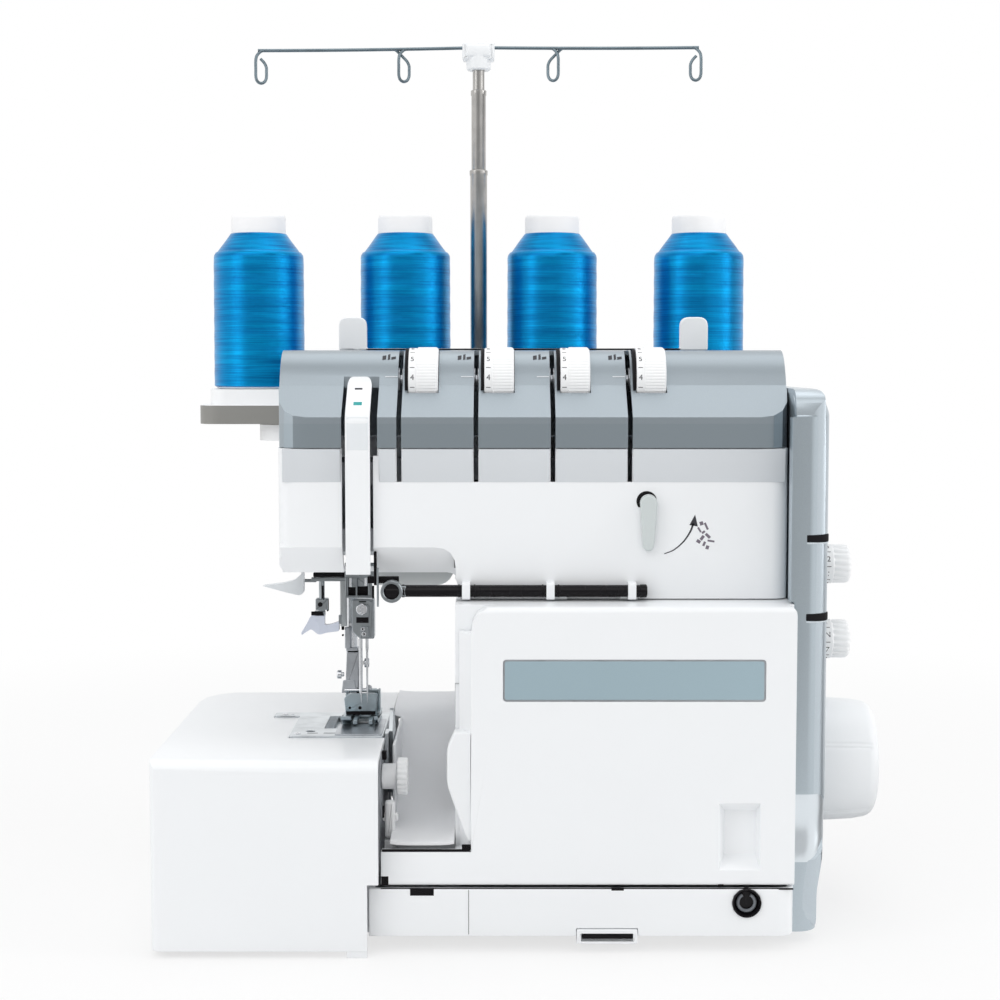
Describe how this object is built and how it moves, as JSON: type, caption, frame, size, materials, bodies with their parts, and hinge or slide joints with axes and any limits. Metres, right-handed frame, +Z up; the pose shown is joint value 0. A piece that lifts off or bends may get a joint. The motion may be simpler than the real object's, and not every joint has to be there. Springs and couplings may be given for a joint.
{
  "type": "serger overlock machine",
  "caption": "Domestic overlock sewing machine with hollow moulded body, sewing head, tension dials, slide-off table, drop-down cover and telescopic thread stand.",
  "frame": {"origin": "centre of the machine box in plan, on the surface that its feet stand on", "axes": "+X to the handwheel side, +Y to the thread stand at the back, +Z up"},
  "size_m": [0.3784, 0.27, 0.476],
  "materials": {
    "white_shell": "glossy white moulded plastic with a faint blue cast",
    "silver_cover": "silver metallic painted plastic, satin",
    "dark_silver": "darker silver metallic painted plastic, satin",
    "grey_trim": "pale grey moulded plastic",
    "black_trim": "black moulded plastic, semi-gloss",
    "rubber": "black rubber",
    "steel": "nickel plated and ground steel",
    "chrome": "polished chrome",
    "cast_alloy": "as-cast aluminium alloy",
    "motor_case": "dark grey painted motor can",
    "thread_blue": "lustrous blue polyester thread, cross wound"
  },
  "bodies": {
    "machine_body": {"base_pan": "white_shell", "foot_front_left": "rubber", "foot_rear_left": "rubber", "foot_front_right": "rubber", "foot_rear_right": "rubber", "base_port": "black_trim", "base_latch": "black_trim", "bed_casting": "cast_alloy", "frame_casting": "cast_alloy", "column_housing": "white_shell", "arm_housing": "white_shell", "top_cover": "silver_cover", "takeup_strip": "white_shell", "rear_cover": "white_shell", "waste_chute": "white_shell", "needle_plate": "steel", "lower_knife": "steel", "guide_rod": "black_trim", "tension_shaft": "steel", "side_cover": "dark_silver", "motor": "motor_case", "drive_belt": "rubber", "power_inlet": "black_trim", "spool_tray": "white_shell", "pole_lower": "chrome", "thread_posts": "white_shell"},
    "cover_carriage": {"cover_hinge_bar": "steel"},
    "front_cover": {"front_cover": "white_shell"},
    "extension_table": {"extension_table": "white_shell"},
    "feed_dog": {"feed_dog": "steel"},
    "upper_knife": {"upper_knife": "steel"},
    "cutting_width_knob": {"cutting_width_knob": "white_shell"},
    "lower_looper": {"lower_looper": "steel"},
    "upper_looper": {"upper_looper": "steel"},
    "needle_bar": {"needle_bar": "steel", "needle_clamp": "steel", "needles": "steel"},
    "presser": {"presser_bar": "steel", "presser_foot": "steel"},
    "presser_lifter": {"presser_lifter": "white_shell"},
    "needle_threader": {"needle_threader": "white_shell"},
    "selector_lever": {"selector_lever": "grey_trim"},
    "tension_dial_1": {"tension_dial_1": "white_shell"},
    "tension_dial_2": {"tension_dial_2": "white_shell"},
    "tension_dial_3": {"tension_dial_3": "white_shell"},
    "tension_dial_4": {"tension_dial_4": "white_shell"},
    "stitch_length_dial": {"stitch_length_dial": "white_shell"},
    "differential_dial": {"differential_dial": "white_shell"},
    "drive_shaft": {"main_shaft": "steel", "handwheel": "white_shell"},
    "motor_rotor": {"motor_rotor": "steel"},
    "power_switch": {"power_switch": "black_trim"},
    "spool_1": {"spool_1": "thread_blue"},
    "spool_2": {"spool_2": "thread_blue"},
    "spool_3": {"spool_3": "thread_blue"},
    "spool_4": {"spool_4": "thread_blue"},
    "pole_top": {"pole_middle": "chrome", "pole_upper": "chrome"},
    "thread_guide": {"guide_hub": "white_shell", "guide_wire": "chrome"}
  },
  "joints": [
    {"name": "cover_slide", "type": "slide", "parent": "machine_body", "child": "cover_carriage", "axis": [1, 0, 0], "range_m": [0, 0.007]},
    {"name": "cover_drop", "type": "hinge", "parent": "cover_carriage", "child": "front_cover", "pos_m": [0.04755, -0.1222, 0.036], "axis": [1, 0, 0], "range_deg": [0, 85]},
    {"name": "table_slide", "type": "slide", "parent": "machine_body", "child": "extension_table", "axis": [1, 0, 0], "range_m": [-0.115, 0]},
    {"name": "feed_dog_slide", "type": "slide", "parent": "machine_body", "child": "feed_dog", "axis": [0, 1, 0], "range_m": [-0.0015, 0.0015]},
    {"name": "upper_knife_swing", "type": "hinge", "parent": "machine_body", "child": "upper_knife", "pos_m": [-0.06845, -0.041, 0.062], "axis": [1, 0, 0], "range_deg": [0, 12]},
    {"name": "cutting_width_turn", "type": "hinge", "parent": "machine_body", "child": "cutting_width_knob", "pos_m": [-0.06245, -0.095, 0.0805], "axis": [1, 0, 0], "range_deg": [0, 270]},
    {"name": "lower_looper_rock", "type": "hinge", "parent": "machine_body", "child": "lower_looper", "pos_m": [-0.11445, -0.045, 0.052], "axis": [0, 1, 0], "range_deg": [0, 12]},
    {"name": "upper_looper_rock", "type": "hinge", "parent": "machine_body", "child": "upper_looper", "pos_m": [-0.08645, -0.03, 0.048], "axis": [0, 1, 0], "range_deg": [-12, 0]},
    {"name": "needle_bar_stroke", "type": "slide", "parent": "machine_body", "child": "needle_bar", "axis": [0, 0, 1], "range_m": [-0.019, 0]},
    {"name": "presser_lift", "type": "slide", "parent": "machine_body", "child": "presser", "axis": [0, 0, 1], "range_m": [0, 0.006]},
    {"name": "presser_lifter_turn", "type": "hinge", "parent": "machine_body", "child": "presser_lifter", "pos_m": [-0.11345, -0.026, 0.181], "axis": [0, 1, 0], "range_deg": [0, 18]},
    {"name": "needle_threader_slide", "type": "slide", "parent": "machine_body", "child": "needle_threader", "axis": [0, 0, 1], "range_m": [-0.012, 0]},
    {"name": "selector_turn", "type": "hinge", "parent": "machine_body", "child": "selector_lever", "pos_m": [0.06125, -0.097, 0.2183], "axis": [0, 1, 0], "range_deg": [-60, 0]},
    {"name": "tension_dial_1_turn", "type": "hinge", "parent": "machine_body", "child": "tension_dial_1", "pos_m": [-0.05105, -0.067, 0.279], "axis": [1, 0, 0], "range_deg": [0, 320]},
    {"name": "tension_dial_2_turn", "type": "hinge", "parent": "machine_body", "child": "tension_dial_2", "pos_m": [-0.01285, -0.067, 0.279], "axis": [1, 0, 0], "range_deg": [0, 320]},
    {"name": "tension_dial_3_turn", "type": "hinge", "parent": "machine_body", "child": "tension_dial_3", "pos_m": [0.02535, -0.067, 0.279], "axis": [1, 0, 0], "range_deg": [0, 320]},
    {"name": "tension_dial_4_turn", "type": "hinge", "parent": "machine_body", "child": "tension_dial_4", "pos_m": [0.06355, -0.067, 0.279], "axis": [1, 0, 0], "range_deg": [0, 320]},
    {"name": "stitch_length_turn", "type": "hinge", "parent": "machine_body", "child": "stitch_length_dial", "pos_m": [0.15755, -0.065, 0.1846], "axis": [1, 0, 0], "range_deg": [0, 270]},
    {"name": "differential_turn", "type": "hinge", "parent": "machine_body", "child": "differential_dial", "pos_m": [0.15755, -0.065, 0.1458], "axis": [1, 0, 0], "range_deg": [0, 270]},
    {"name": "handwheel_turn", "type": "hinge", "parent": "machine_body", "child": "drive_shaft", "pos_m": [0.16755, -0.03, 0.0757], "axis": [1, 0, 0], "continuous": true},
    {"name": "motor_turn", "type": "hinge", "parent": "machine_body", "child": "motor_rotor", "pos_m": [0.11755, 0.015, 0.15], "axis": [1, 0, 0], "continuous": true},
    {"name": "power_rocker", "type": "hinge", "parent": "machine_body", "child": "power_switch", "pos_m": [0.14555, 0.017, 0.04], "axis": [0, 1, 0], "range_deg": [-14, 0]},
    {"name": "spool_1_lift", "type": "slide", "parent": "machine_body", "child": "spool_1", "axis": [0, 0, 1], "range_m": [0, 0.03]},
    {"name": "spool_2_lift", "type": "slide", "parent": "machine_body", "child": "spool_2", "axis": [0, 0, 1], "range_m": [0, 0.03]},
    {"name": "spool_3_lift", "type": "slide", "parent": "machine_body", "child": "spool_3", "axis": [0, 0, 1], "range_m": [0, 0.03]},
    {"name": "spool_4_lift", "type": "slide", "parent": "machine_body", "child": "spool_4", "axis": [0, 0, 1], "range_m": [0, 0.03]},
    {"name": "pole_slide", "type": "slide", "parent": "machine_body", "child": "pole_top", "axis": [0, 0, 1], "range_m": [-0.035, 0]},
    {"name": "thread_guide_turn", "type": "hinge", "parent": "pole_top", "child": "thread_guide", "pos_m": [-0.02515, 0.102, 0.46], "axis": [0, 0, 1], "range_deg": [-90, 90]}
  ],
  "couplings": [
    {"joint": "presser_lifter_turn", "follows": "presser_lift", "rad_per_m": 52.359},
    {"joint": "motor_turn", "follows": "handwheel_turn", "ratio": 3}
  ]
}
